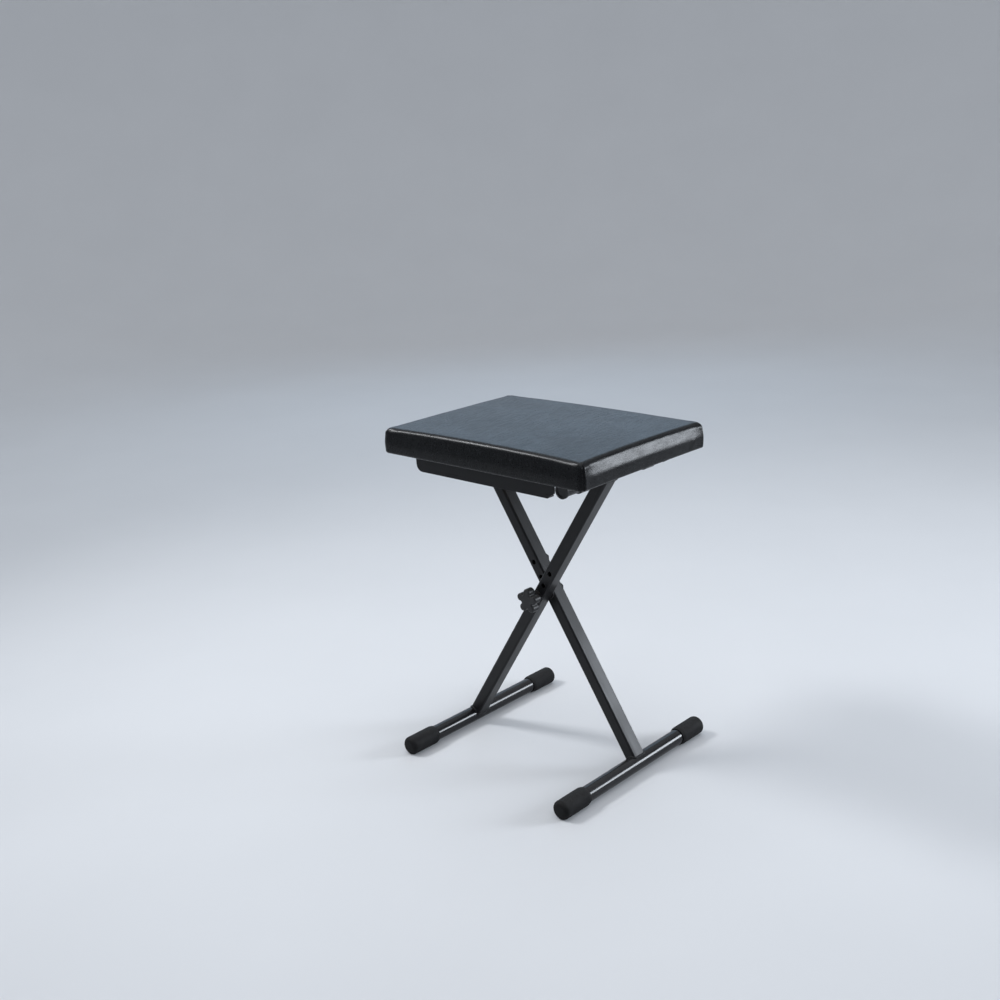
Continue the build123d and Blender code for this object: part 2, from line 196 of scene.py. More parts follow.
# %% [markdown]
# ## Effect 2: traces of use
# Hands leave smudges, and dust settles on what faces up. Both are soft clouds of noise at different sizes.
# The smudge varies the gloss, because a fingerprint on black paint is seen as a change of shine, and dust is
# a thin pale film that only shows on level surfaces.

# %% Group: traces of use
traces, given = start_group(
    "traces of use", {"Size": 14.0, "Film": 0.3}, {"Smudge": "Float", "Dust": "Float"}
)
where = add(traces, "TexCoord").outputs["Object"]
cloud = add(traces, "TexNoise", {"Vector": where, "Scale": given["Size"], "Detail": 6.0, "Distortion": 0.6})
smudge = spread(traces, cloud.outputs["Fac"], 0.0, 1.0, start=0.34, end=0.68)
faces_up = add(traces, "SeparateXYZ", {0: add(traces, "NewGeometry").outputs["Normal"]}).outputs["Z"]
speck = add(traces, "TexNoise", {"Vector": where, "Scale": 420.0, "Detail": 3.0})
level = spread(traces, faces_up, 0.0, 1.0, start=0.35, end=1.0)
settled = calc(traces, "MULTIPLY", level, speck.outputs["Fac"])
dust = calc(traces, "MULTIPLY", calc(traces, "MULTIPLY", settled, given["Film"]), cloud.outputs["Fac"])
end_group(traces, {"Smudge": smudge, "Dust": dust})

# %% [markdown]
# ## Effect 3: powder-coat skin
# Powder paint melts into a skin with a faint orange peel, and under it the tube keeps fine lines along its
# length from the rolls that formed it. The peel is fine noise. The lines are noise too, stretched along the
# tube, after turning the coordinates: by the lean of a leg, or by the tip of a tube that lies down.

# %% Group: powder skin
ALONG_TUBE = (1.0, 1.0, 0.012)
powder_skin, given = start_group(
    "powder skin", {"Peel size": 520.0, "Tip": 0.0, "Lean": 0.0}, {"Peel": "Float", "Lines": "Float"}
)
where = add(powder_skin, "TexCoord").outputs["Object"]
peel = add(powder_skin, "TexNoise", {"Vector": where, "Scale": given["Peel size"], "Detail": 1.5})
angles = add(powder_skin, "CombineXYZ", {"X": given["Tip"], "Y": given["Lean"]})
turned = add(
    powder_skin, "VectorRotate", {"Vector": where, "Rotation": angles.outputs[0]}, rotation_type="EULER_XYZ"
)
squeezed = add(powder_skin, "VectorMath", {0: turned.outputs[0], 1: ALONG_TUBE}, operation="MULTIPLY")
lines = add(powder_skin, "TexNoise", {"Vector": squeezed.outputs[0], "Scale": 620.0, "Detail": 4.0})
end_group(powder_skin, {"Peel": peel.outputs["Fac"], "Lines": lines.outputs["Fac"]})

# %% [markdown]
# ## Effect 4: moulded skin
# Moulded plastic and rubber copy the skin of their steel mould, which is etched to a fine even grit. A fine
# noise gives the grit, whose size each moulding sets for itself, and a coarse one gives the faint marks where
# the melt flowed.

# %% Group: moulded skin
moulded_skin, given = start_group("moulded skin", {"Grit size": 1400.0}, {"Grit": "Float", "Flow": "Float"})
where = add(moulded_skin, "TexCoord").outputs["Object"]
grit = add(moulded_skin, "TexNoise", {"Vector": where, "Scale": given["Grit size"], "Detail": 2.0})
flow = add(moulded_skin, "TexNoise", {"Vector": where, "Scale": 38.0, "Detail": 3.0, "Distortion": 1.2})
end_group(moulded_skin, {"Grit": grit.outputs["Fac"], "Flow": flow.outputs["Fac"]})

# %% [markdown]
# ## Black paint on steel
# Legs, bars and rails are satin black, and the feet are glossier, so one function makes all of them with
# different values. Wear at the edges turns the black towards grey primer, and stays slight, because the bench
# is new.

# %% Painted steel
DUST_ON_PAINT = (0.16, 0.155, 0.15)
PRIMER = (0.11, 0.11, 0.112)
LINE_DARK, LINE_LIGHT = 0.82, 1.25
LINE_RELIEF = 0.7


def painted_steel(name, tip, lean, black, dull, shiny, peel_depth, rub, specular):
    """Black paint over steel tube or sheet."""
    material, tree, shader = start_material(name, Specular_IOR_Level=specular)
    skin = use_group(tree, powder_skin, Tip=tip, Lean=lean)
    used = use_group(tree, traces, Size=9.0, Film=0.25)
    worn = use_group(tree, edge_wear, Radius=0.7 * MM, Rub=rub)
    dark, light = [LINE_DARK * part for part in black], [LINE_LIGHT * part for part in black]
    colour = tint(tree, skin["Lines"], dark, light)
    colour = tint(tree, used["Dust"], colour, DUST_ON_PAINT)
    colour = tint(tree, worn["Wear"], colour, PRIMER)
    gloss = spread(tree, used["Smudge"], shiny, dull)
    gloss = calc(tree, "ADD", gloss, spread(tree, skin["Lines"], -0.05, 0.06, start=0.3, end=0.7))
    relief = calc(tree, "ADD", skin["Peel"], calc(tree, "MULTIPLY", skin["Lines"], LINE_RELIEF))
    bump = add(tree, "Bump", {"Height": relief, "Distance": peel_depth, "Normal": worn["Normal"]})
    feed(tree, shader, Base_Color=colour, Roughness=gloss, Normal=bump.outputs[0])
    print("material", name)
    return material


SATIN = dict(black=(0.01, 0.01, 0.011), dull=0.4, shiny=0.29, peel_depth=0.06 * MM, rub=0.35, specular=0.21)
GLOSS = dict(
    black=(0.007, 0.007, 0.008), dull=0.19, shiny=0.12, peel_depth=0.02 * MM, rub=0.25, specular=0.32
)
LYING = math.pi / 2
front_leg_paint = painted_steel("front leg paint", 0.0, -LEAN, **SATIN)
back_leg_paint = painted_steel("back leg paint", 0.0, LEAN, **SATIN)
rail_paint = painted_steel("rail paint", 0.0, LYING, **SATIN)
bar_paint = painted_steel("bar paint", LYING, 0.0, **SATIN)
foot_paint = painted_steel("foot paint", LYING, 0.0, **GLOSS)

# %% [markdown]
# ## Rubber, nylon and the knob's plastic
# Three mouldings share one function. Rubber is the dullest and darkest, with the deepest grit. Nylon has a
# waxy half-shine, and the knob's plastic is much the same with a finer grit.

# %% Moulded parts
DUST_ON_MOULDING = (0.2, 0.195, 0.19)
RUBBED_GREY = (0.07, 0.07, 0.07)


def moulding(name, dark, light, dull, shiny, grit_size, grit_depth, specular, film):
    """Black moulded rubber or plastic."""
    material, tree, shader = start_material(name, Specular_IOR_Level=specular)
    skin = use_group(tree, moulded_skin, Grit_size=grit_size)
    used = use_group(tree, traces, Size=22.0, Film=film)
    worn = use_group(tree, edge_wear, Radius=0.8 * MM, Rub=0.3)
    colour = tint(tree, spread(tree, skin["Flow"], 0.0, 1.0, start=0.3, end=0.7), dark, light)
    colour = tint(tree, used["Dust"], colour, DUST_ON_MOULDING)
    colour = tint(tree, worn["Wear"], colour, RUBBED_GREY)
    gloss = spread(tree, used["Smudge"], shiny, dull)
    bump = add(tree, "Bump", {"Height": skin["Grit"], "Distance": grit_depth, "Normal": worn["Normal"]})
    feed(tree, shader, Base_Color=colour, Roughness=gloss, Normal=bump.outputs[0])
    print("material", name)
    return material


cap_rubber = moulding(
    "cap rubber", dark=(0.0065, 0.0065, 0.007), light=(0.0105, 0.0105, 0.011), dull=0.78, shiny=0.62,
    grit_size=1300.0, grit_depth=0.1 * MM, specular=0.16, film=0.3,
)
black_nylon = moulding(
    "black nylon", dark=(0.01, 0.01, 0.011), light=(0.017, 0.017, 0.018), dull=0.52, shiny=0.4,
    grit_size=900.0, grit_depth=0.04 * MM, specular=0.35, film=0.3,
)
knob_plastic = moulding(
    "knob plastic", dark=(0.01, 0.01, 0.011), light=(0.016, 0.016, 0.017), dull=0.5, shiny=0.38,
    grit_size=1700.0, grit_depth=0.07 * MM, specular=0.35, film=0.35,
)

# %% [markdown]
# ## Zinc plate and plywood
# Screws, staples and the bolt are bright zinc with a cloudy, slightly blue film. The board is raw plywood:
# long wavy grain in two browns, with darker pores. Both are seen mostly from below.

# %% Zinc plate
BLUE_ZINC, PALE_ZINC, RUBBED_ZINC = (0.46, 0.48, 0.52), (0.62, 0.62, 0.6), (0.75, 0.75, 0.74)
zinc_plate, tree, shader = start_material("zinc plate", Metallic=1.0)
used = use_group(tree, traces, Size=60.0)
worn = use_group(tree, edge_wear, Radius=0.4 * MM, Rub=0.6)
colour = tint(tree, used["Smudge"], BLUE_ZINC, PALE_ZINC)
colour = tint(tree, worn["Wear"], colour, RUBBED_ZINC)
gloss = spread(tree, used["Smudge"], 0.24, 0.42)
feed(tree, shader, Base_Color=colour, Roughness=gloss, Normal=worn["Normal"])
print("material", zinc_plate.name)

# %% Plywood
ALONG_GRAIN = (0.09, 1.0, 1.0)
RING_PHASE = 46.0
DARK_RING, PALE_RING, PORE = (0.36, 0.24, 0.135), (0.5, 0.365, 0.225), (0.19, 0.115, 0.06)
plywood, tree, shader = start_material("plywood", Specular_IOR_Level=0.3)
where = add(tree, "TexCoord").outputs["Object"]
long_grain = add(tree, "VectorMath", {0: where, 1: ALONG_GRAIN}, operation="MULTIPLY").outputs[0]
figure = add(tree, "TexNoise", {"Vector": long_grain, "Scale": 34.0, "Detail": 4.0, "Distortion": 1.6})
rings = calc(tree, "SINE", calc(tree, "MULTIPLY", figure.outputs["Fac"], RING_PHASE))
pores = add(tree, "TexNoise", {"Vector": long_grain, "Scale": 520.0, "Detail": 2.0})
pore = spread(tree, pores.outputs["Fac"], 0.0, 1.0, start=0.56, end=0.68)
used = use_group(tree, traces, Size=12.0)
colour = tint(tree, spread(tree, rings, 0.0, 1.0, start=-1.0), DARK_RING, PALE_RING)
colour = tint(tree, pore, colour, PORE)
relief = calc(tree, "SUBTRACT", spread(tree, rings, 0.0, 0.3, start=-1.0), pore)
bump = add(tree, "Bump", {"Height": relief, "Distance": 0.12 * MM})
gloss = spread(tree, used["Smudge"], 0.55, 0.72)
feed(tree, shader, Base_Color=colour, Roughness=gloss, Normal=bump.outputs[0])
print("material", plywood.name)

# %% [markdown]
# ## Dress the CAD pieces
# Each CAD node keeps its mesh and gets a finish in its material slots. The cover and the foam are not in the
# list, because a cushion made here takes their place.

# %% Give each CAD node its finish
finishes = {
    front_leg_paint: ["front_leg_tube"],
    back_leg_paint: ["back_leg_tube", "weld_nuts"],
    bar_paint: ["hinge_bar", "slide_bar"],
    rail_paint: ["rail_front", "rail_back", "hinge_strap_front", "hinge_strap_back"],
    foot_paint: ["left_foot_tube", "right_foot_tube"],
    cap_rubber: [node for node in nodes if "foot_cap" in node],
    black_nylon: [
        "hinge_saddle_front", "hinge_saddle_back", "hinge_bar_plugs", "slide_shoes", "pivot_spacer",
        "knob_washer",
    ],
    knob_plastic: ["star_knob"],
    zinc_plate: ["cover_staples", "rail_screws", "strap_screws", "pivot_bolt"],
    plywood: ["seat_board"],
}
for material, names in finishes.items():
    for name in names:
        for slot in nodes[name].material_slots:
            slot.material = material
print("finished", sum(len(names) for names in finishes.values()), "CAD nodes")

# %% [markdown]
# ## The cover: a grid that can be sewn
# The cushion is foam on a board, under one sheet of leatherette that is pulled down the sides and stapled
# below. A scaled cube would look like a brick, so the cover is a grid: a top, four sides and a hem
# underneath, with its lines drawn together where the sheet rolls over an edge. The upper half of each side
# leans in from a soft knee, and the whole grid starts a little flat, because the next step puffs it up.

# %% Grid lines across the seat
cover_low, cover_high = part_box("seat_cover")
board_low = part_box("seat_board")[0]
HALF_X, HALF_Y = cover_high.x, cover_high.y
CORNER = 10 * MM
TOP_ROLL = 9 * MM
ROLL_START = math.radians(18)
KNEE_TOP, KNEE_END = 10 * MM, 19 * MM
BULGE = 1.6 * MM
BULGE_RISE = 18 * MM
CORNER_REACH = 60 * MM
CORNER_GRIP = 0.75
HEM_ROLL = 3 * MM
HEM = 22 * MM
CROWN = 4 * MM
PULL_IN = 1.5 * MM
FLAT_START = 1.2 * MM
HEM_LINES = (9.6, 11.2, 13.4, 16, 19)
HEM_CUT = 0.8 * MM
PAST_HEM = 4.5 * MM
IN_BOARD = 2 * MM
TOP_SPACING = 7.5 * MM
ROLL_LINES = 7


def grid_lines(half):
    """Places across the seat, close together at the rolled edges and at the end of the hem."""
    angles = np.linspace(ROLL_START, math.pi / 2, ROLL_LINES)
    roll = [TOP_ROLL * (math.cos(ROLL_START) - math.cos(angle)) for angle in angles]
    hem = [depth * MM for depth in HEM_LINES] + [HEM, HEM + HEM_CUT, HEM + PAST_HEM]
    left = [depth - half for depth in roll + hem]
    inner = -left[-1]
    between = np.linspace(-inner, inner, round(2 * inner / TOP_SPACING) + 1)[1:-1]
    return np.array(left + list(between) + [-place for place in reversed(left)])


lines_x, lines_y = grid_lines(HALF_X), grid_lines(HALF_Y)
print("cover grid", len(lines_x), "by", len(lines_y), "lines")

# %% [markdown]
# The square corners of the grid are bent to a round plan by a mapping that sends a square to a quarter disc.
# The depth of a point, its distance in from the outline, then gives the height of the rolled edge. Inside the
# hem the sheet turns up into the board, which hides the closed underside.

# %% Shape the top, sides and hem
flat_x, flat_y = np.meshgrid(lines_x, lines_y, indexing="ij")
part_x = np.clip((np.abs(flat_x) - HALF_X + CORNER) / CORNER, 0, 1)
part_y = np.clip((np.abs(flat_y) - HALF_Y + CORNER) / CORNER, 0, 1)
bent_x = part_x * np.sqrt(1 - part_y**2 / 2)
bent_y = part_y * np.sqrt(1 - part_x**2 / 2)
in_corner = (part_x > 0) & (part_y > 0)
plan_x = np.where(in_corner, np.sign(flat_x) * (HALF_X - CORNER + CORNER * bent_x), flat_x)
plan_y = np.where(in_corner, np.sign(flat_y) * (HALF_Y - CORNER + CORNER * bent_y), flat_y)
to_side = np.minimum(HALF_X - np.abs(flat_x), HALF_Y - np.abs(flat_y))
depth = np.where(in_corner, CORNER * (1 - np.hypot(bent_x, bent_y)), to_side)


def roll_drop(depth, radius, start=0.0):
    """How far a rolled edge falls below its level, at that depth. It starts at an angle from upright."""
    outside = np.clip(radius * math.cos(start) - depth, 0, radius)
    return radius - np.sqrt(radius**2 - outside**2)


crown = CROWN * (plan_x**2 + plan_y**2) / (HALF_X**2 + HALF_Y**2)
top_z = cover_high.z - FLAT_START - crown - roll_drop(depth, TOP_ROLL, ROLL_START)
under_z = cover_low.z + roll_drop(depth, HEM_ROLL)
under_z = np.where(depth > HEM + HEM_CUT / 2, board_low.z + IN_BOARD, under_z)
print("cover starts at", round(top_z.max() / MM, 1), "mm, and is to reach", round(cover_high.z / MM, 1))

# %% Place the points of the grid
SIDE_ROWS = 14
count_x, count_y = flat_x.shape
ring = [(i, 0) for i in range(count_x)] + [(count_x - 1, j) for j in range(1, count_y)]
ring += [(i, count_y - 1) for i in range(count_x - 2, -1, -1)] + [(0, j) for j in range(count_y - 2, 0, -1)]
points = []
index = {}


def lean_in(below_roll):
    """How far the slanted upper half of a side has come in, at that depth below the rolled edge."""
    bend = min(max(KNEE_END - below_roll, 0.0), KNEE_END - KNEE_TOP)
    slant = max(KNEE_TOP - below_roll, 0.0)
    return math.tan(ROLL_START) * (bend**2 / (2 * (KNEE_END - KNEE_TOP)) + slant)


def place(key, x, y, z, inward=0.0):
    """Add a point. Between the corners the outline is drawn in, and the side swells out below the slant."""
    from_corner = max(HALF_X - abs(x), HALF_Y - abs(y))
    slack = 1 - CORNER_GRIP * max(1 - from_corner / CORNER_REACH, 0.0) ** 2
    across = 1 - (PULL_IN * (1 - (y / HALF_Y) ** 2) + inward * slack) / HALF_X
    along = 1 - (PULL_IN * (1 - (x / HALF_X) ** 2) + inward * slack) / HALF_Y
    index[key] = len(points)
    points.append((x * across, y * along, z))


for i in range(count_x):
    for j in range(count_y):
        place(("top", i, j), plan_x[i, j], plan_y[i, j], top_z[i, j], lean_in(0) - BULGE)
        place(("under", i, j), plan_x[i, j], plan_y[i, j], under_z[i, j])
for i, j in ring:
    for row in range(1, SIDE_ROWS):
        below = (top_z[i, j] - under_z[i, j]) * row / SIDE_ROWS
        above = top_z[i, j] - under_z[i, j] - below
        swell = BULGE * math.sin(min(above / BULGE_RISE, 1.0) * math.pi / 2)
        place((row, i, j), plan_x[i, j], plan_y[i, j], top_z[i, j] - below, lean_in(below) - swell)
    index[0, i, j] = index["top", i, j]
    index[SIDE_ROWS, i, j] = index["under", i, j]
print("cover has", len(points), "points, and", len(ring), "of them round its edge")

# %% Join them into one closed mesh
faces = []
for i in range(count_x - 1):
    for j in range(count_y - 1):
        square = [(i, j), (i + 1, j), (i + 1, j + 1), (i, j + 1)]
        faces.append([index["top", *corner] for corner in square])
        faces.append([index["under", *corner] for corner in reversed(square)])
for one, two in zip(ring, ring[1:] + ring[:1]):
    for row in range(SIDE_ROWS):
        quad = [(row, *one), (row + 1, *one), (row + 1, *two), (row, *two)]
        faces.append([index[corner] for corner in quad])
cover_mesh = bpy.data.meshes.new("seat_cushion")
cover_mesh.from_pydata(points, [], faces)
cover = bpy.data.objects.new("seat_cushion", cover_mesh)
scene.collection.objects.link(cover)
print("cover is closed by", len(faces), "faces")

# %% [markdown]
# ## Puff the cover with cloth
# Foam pushes the sheet out from inside. Blender's cloth can do that with air pressure: the hem and the strip
# along the board's edge are pinned, gravity is off, and the rest swells for twenty frames. Real foam stops
# the sheet after a millimetre or two, so each point's movement is capped with a curve that flattens off. The
# cap is full where the sheet faces up and almost nothing on the sides, which the staples keep taut.

# %% Cloth simulation
PUFF_FRAMES = 20
PUFF_PRESSURE = 4.0
PUFF_CAP = 1.4 * MM
PINNED_TO, FREE_FROM = 4 * MM, 28 * MM
LEAST_FACING = 0.01


def read_points(mesh, what="co"):
    """A mesh's points as an array, or, with "normal", the outward direction at each of them."""
    flat = np.empty(3 * len(mesh.vertices))
    mesh.vertices.foreach_get(what, flat)
    return flat.reshape(-1, 3)


def write_points(mesh, places):
    """Put an array back as a mesh's points."""
    mesh.vertices.foreach_set("co", places.ravel())
    mesh.update()


def puff(piece):
    """Swell the free part of the cover. Returns where its points started and how they moved."""
    start = read_points(piece.data)
    held = piece.vertex_groups.new(name="held")
    for vertex in piece.data.vertices:
        free = (vertex.co.z - board_low.z - PINNED_TO) / (FREE_FROM - PINNED_TO)
        held.add([vertex.index], min(max(1 - free, 0.0), 1.0), "REPLACE")
    cloth = piece.modifiers.new("puff", "CLOTH")
    cloth.settings.quality = 6
    cloth.settings.use_pressure = True
    cloth.settings.uniform_pressure_force = PUFF_PRESSURE
    cloth.settings.effector_weights.gravity = 0.0
    cloth.settings.vertex_group_mass = held.name
    cloth.collision_settings.use_collision = False
    cloth.point_cache.frame_end = PUFF_FRAMES
    for number in range(1, PUFF_FRAMES + 1):
        scene.frame_set(number)
    swollen = piece.evaluated_get(bpy.context.evaluated_depsgraph_get()).to_mesh()
    moved = read_points(swollen) - start
    piece.modifiers.remove(cloth)
    piece.vertex_groups.remove(held)
    scene.frame_set(1)
    return start, moved


start, moved = puff(cover)
outward = read_points(cover_mesh, "normal")
reach = np.linalg.norm(moved, axis=1, keepdims=True)
cap = PUFF_CAP * np.clip(outward[:, 2:], LEAST_FACING, 1) ** 2
capped = cap * np.tanh(reach / cap)
write_points(cover_mesh, start + outward * capped)
print("cloth moved up to", round(reach.max() / MM, 1), "mm, kept", round(capped.max() / MM, 1))

# %% [markdown]
# ## Folded corners and small creases
# At each corner the spare sheet is folded into one upright pleat, tucked towards the short side. After one
# subdivision the points are close enough to carry it: a narrow groove, a lip on each side, and a slight step
# where the hidden layers end. The pull of the staples and the handwork leave shallow waves, which show as
# broken highlights along the sides.

# %% Subdivide
fine = cover.modifiers.new("fine", "SUBSURF")
fine.levels = fine.render_levels = 1
smooth_mesh = bpy.data.meshes.new_from_object(cover.evaluated_get(bpy.context.evaluated_depsgraph_get()))
cover.modifiers.clear()
cover.data = smooth_mesh
cover.data.name = "seat_cushion"
print("cover has", len(smooth_mesh.vertices), "points")

# %% Corner pleats
PLEAT_AT = 2.6 * MM
PLEAT_DEPTH = 1.9 * MM
PLEAT_WIDTH = 1.0 * MM
PLEAT_LIFT = 0.9 * MM
LIP_WIDTH = 5 * MM
LAYER_STEP = 0.35 * MM
LAYER_EASE = 3 * MM
LAYER_SLANT = 0.75
PLEAT_FROM, PLEAT_FULL = 4.5 * MM, 10 * MM
HEM_EASE = 3 * MM
CORNER_EASE = 6 * MM


def bell(value, width):
    """A smooth hump of height 1."""
    return np.exp(-((value / width) ** 2))


def ease(value, start, end):
    """A smooth step from 0 to 1."""
    part = np.clip((value - start) / (end - start), 0, 1)
    return part * part * (3 - 2 * part)


spots = read_points(cover.data)
normals = read_points(cover.data, "normal")
beyond_x = np.abs(spots[:, 0]) - (HALF_X - CORNER)
beyond_y = np.abs(spots[:, 1]) - (HALF_Y - CORNER)
round_corner = CORNER * (math.pi / 4 - np.arctan2(beyond_y, beyond_x))
quarter = CORNER * math.pi / 4
round_corner = np.where(beyond_y < 0, quarter - beyond_y, round_corner)
round_corner = np.where((beyond_x < 0) & (beyond_y >= 0), beyond_x - quarter, round_corner)
below_top = cover_high.z - spots[:, 2]
above_hem = spots[:, 2] - cover_low.z
on_side = ease(below_top, PLEAT_FROM, PLEAT_FULL) * ease(above_hem, 0, HEM_EASE)
on_side = on_side * ease(np.maximum(beyond_x, beyond_y), 0, CORNER_EASE)
across = round_corner - PLEAT_AT
pleat = PLEAT_LIFT * bell(across, LIP_WIDTH) - PLEAT_DEPTH * bell(across, PLEAT_WIDTH)
layer_end = LIP_WIDTH + LAYER_SLANT * below_top
pleat += LAYER_STEP * ease(across, 0, LAYER_EASE) * (1 - ease(across - layer_end, 0, LAYER_EASE))
push = pleat * on_side
print("pleats go", round(-push.min() / MM, 2), "mm in")

# %% Creases and waves
TUCK_DEPTH = 0.3 * MM
TUCK_AT, TUCK_WIDTH = 14 * MM, 12 * MM
TUCKS, FIRST_TUCK = 11, 1.3
BROAD_WAVE, SLANT_WAVE, SIDE_WAVE = 0.28 * MM, 0.1 * MM, 0.22 * MM
BROAD_SCALE, SLANT_SCALE, SIDE_SCALE = Vector((22, 22, 30)), Vector((26, 95, 40)), Vector((85, 85, 24))
SLANT_SHIFT, SIDE_SHIFT = Vector((3.7, 1.1, 0.4)), Vector((7.3, 2.9, 5.1))
TOP_ENDS = 5 * MM
SIDE_STARTS, SIDE_FULL = 6 * MM, 12 * MM
SIDE_EASE = 2 * MM
in_x, in_y = HALF_X - np.abs(spots[:, 0]), HALF_Y - np.abs(spots[:, 1])
from_corner = np.hypot(np.maximum(in_x, 0), np.maximum(in_y, 0))
bearing = np.arctan2(in_y, in_x)
on_top = 1 - ease(below_top, TOP_ENDS, SIDE_FULL)
push += TUCK_DEPTH * on_top * bell(from_corner - TUCK_AT, TUCK_WIDTH) * np.cos(TUCKS * bearing + FIRST_TUCK)
is_side = ease(below_top, SIDE_STARTS, SIDE_FULL) * ease(above_hem, 0, SIDE_EASE)
for number, (x, y, z) in enumerate(spots):
    broad = noise.noise(Vector((x, y, z)) * BROAD_SCALE)
    slant = noise.noise(Vector((x + y, x - y, z)) * SLANT_SCALE + SLANT_SHIFT)
    ripple = noise.noise(Vector((x, y, z)) * SIDE_SCALE + SIDE_SHIFT)
    push[number] += (BROAD_WAVE * broad + SLANT_WAVE * slant) * on_top[number]
    push[number] += SIDE_WAVE * ripple * is_side[number]
write_points(cover.data, spots + normals * push[:, None])
cover.data.shade_smooth()
print("creases within", round(np.abs(push).max() / MM, 2), "mm")

# %% [markdown]
# ## Black leatherette
# The sheet is cloth with a printed plastic skin: pebbles about a millimetre across with soft valleys between
# them, and fine streaks that run from front to back. A Voronoi texture gives the pebbles, and stretched noise
# the streaks. The gloss lies on the pebbles, and the valleys stay dull, which gives the grey bloom that the
# top shows under soft light. The valleys are also painted a darker black than the pebbles: painted shade in
# the hollows of the grain.

# %% Leatherette
WANDER = 1.6 * MM
STREAK_TURN = math.radians(-92)
STREAK_STRETCH = (0.1, 1.0, 0.5)
STREAK_RELIEF = 0.3
VALLEY_DULL = 0.08
# The valley colour is painted shade: the grain's hollows are drawn darker than the pebbles.
PEBBLE_BLACK, VALLEY_SHADE = (0.0042, 0.0047, 0.0055), (0.0026, 0.003, 0.0036)
DUST_ON_COVER = (0.1, 0.105, 0.11)
leatherette, tree, shader = start_material("leatherette", Specular_IOR_Level=0.17)
where = add(tree, "TexCoord").outputs["Object"]
wander = add(tree, "TexNoise", {"Vector": where, "Scale": 260.0, "Detail": 2.0}).outputs["Color"]
moves = {0: wander, 1: (WANDER, WANDER, WANDER), 2: where}
shifted = add(tree, "VectorMath", moves, operation="MULTIPLY_ADD").outputs[0]
pebble_inputs = {"Vector": shifted, "Scale": 760.0, "Smoothness": 0.7}
pebbles = add(tree, "TexVoronoi", pebble_inputs, feature="SMOOTH_F1").outputs["Distance"]
valley = spread(tree, pebbles, 0.0, 1.0, start=0.25, end=0.85)
turned = add(tree, "VectorRotate", {"Vector": where, "Angle": STREAK_TURN}, rotation_type="Z_AXIS")
stretched = add(tree, "VectorMath", {0: turned.outputs[0], 1: STREAK_STRETCH}, operation="MULTIPLY")
streaks = add(tree, "TexNoise", {"Vector": stretched.outputs[0], "Scale": 420.0, "Detail": 4.0})
streak = streaks.outputs["Fac"]
used = use_group(tree, traces, Size=11.0, Film=0.35)
# Painted shade: the grain's valleys get a darker black than the pebbles, standing in for shade in the
# hollows.
colour = tint(tree, valley, PEBBLE_BLACK, VALLEY_SHADE)
colour = tint(tree, used["Dust"], colour, DUST_ON_COVER)
gloss = spread(tree, used["Smudge"], 0.22, 0.28)
gloss = calc(tree, "ADD", gloss, calc(tree, "MULTIPLY", valley, VALLEY_DULL))
gloss = calc(tree, "ADD", gloss, spread(tree, streak, -0.03, 0.03, start=0.35, end=0.65))
relief = calc(tree, "SUBTRACT", calc(tree, "MULTIPLY", streak, STREAK_RELIEF), valley)
bump = add(tree, "Bump", {"Height": relief, "Distance": 0.045 * MM})
feed(tree, shader, Base_Color=colour, Roughness=gloss, Normal=bump.outputs[0])
print("material", leatherette.name)

# %% Hand the cushion over
cover.data.materials.append(leatherette)
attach(cover, "seat")
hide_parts("seat_cover", "seat_foam")
print(cover.name, "rides on the seat and replaces its cover and foam")

# %% [markdown]
# ## Weld beads
# Each leg is welded to its bar and its foot. A weld is a row of small overlapping pools, so the bead is a
# tube swept round the end of the leg whose thickness swells once for each pool. The path is the outline of
# the leg, pushed along the leg until it lies on the round bar.

# %% Outline of a leg
LEG_HALF = 10 * MM
LEG_CORNER = 3 * MM
CORNER_STEP = 15
POOL = 2.1 * MM
STEPS_IN_POOL = 4


def leg_outline(half_u, half_v):
    """Points and outward directions round a rounded rectangle, evenly spaced."""
    path = []
    for start, step_u, step_v in ((0, 1, 1), (90, -1, 1), (180, -1, -1), (270, 1, -1)):
        for angle in range(start, start + 91, CORNER_STEP):
            out = Vector((math.cos(math.radians(angle)), math.sin(math.radians(angle))))
            corner = Vector((step_u * (half_u - LEG_CORNER), step_v * (half_v - LEG_CORNER)))
            path.append((corner + out * LEG_CORNER, out))
    even = []
    for (point, out), (after, out_after) in zip(path, path[1:] + path[:1]):
        pieces = max(1, round((after - point).length / (POOL / STEPS_IN_POOL)))
        even += [(point.lerp(after, k / pieces), out.lerp(out_after, k / pieces)) for k in range(pieces)]
    return even


print("a leg's outline has", len(leg_outline(LEG_HALF, span("front_leg_tube").y / 2)), "points")

# %% Sweep a bead round it
BEAD = 1.9 * MM
BEAD_LOW, BEAD_SWELL = 0.84, 0.22
LEAST_RISE = 4 * MM
RING_POINTS = 10


def bead_path(leg, bar):
    """The leg's outline laid on the bar, with its outward directions."""
    centre = middle(bar)
    radius = span(bar).x / 2
    centre.y = middle(leg).y
    towards = Vector((PIVOT.x - centre.x, 0, PIVOT.z - centre.z)).normalized()
    sideways = Vector((towards.z, 0, -towards.x))
    path = []
    for point, out in leg_outline(LEG_HALF, span(leg).y / 2):
        rise = math.sqrt(max(radius**2 - point.x**2, LEAST_RISE**2))
        place_on_bar = centre + sideways * point.x + Vector((0, point.y, 0)) + towards * rise
        path.append((place_on_bar, (sideways * out.x + Vector((0, out.y, 0))).normalized()))
    return path


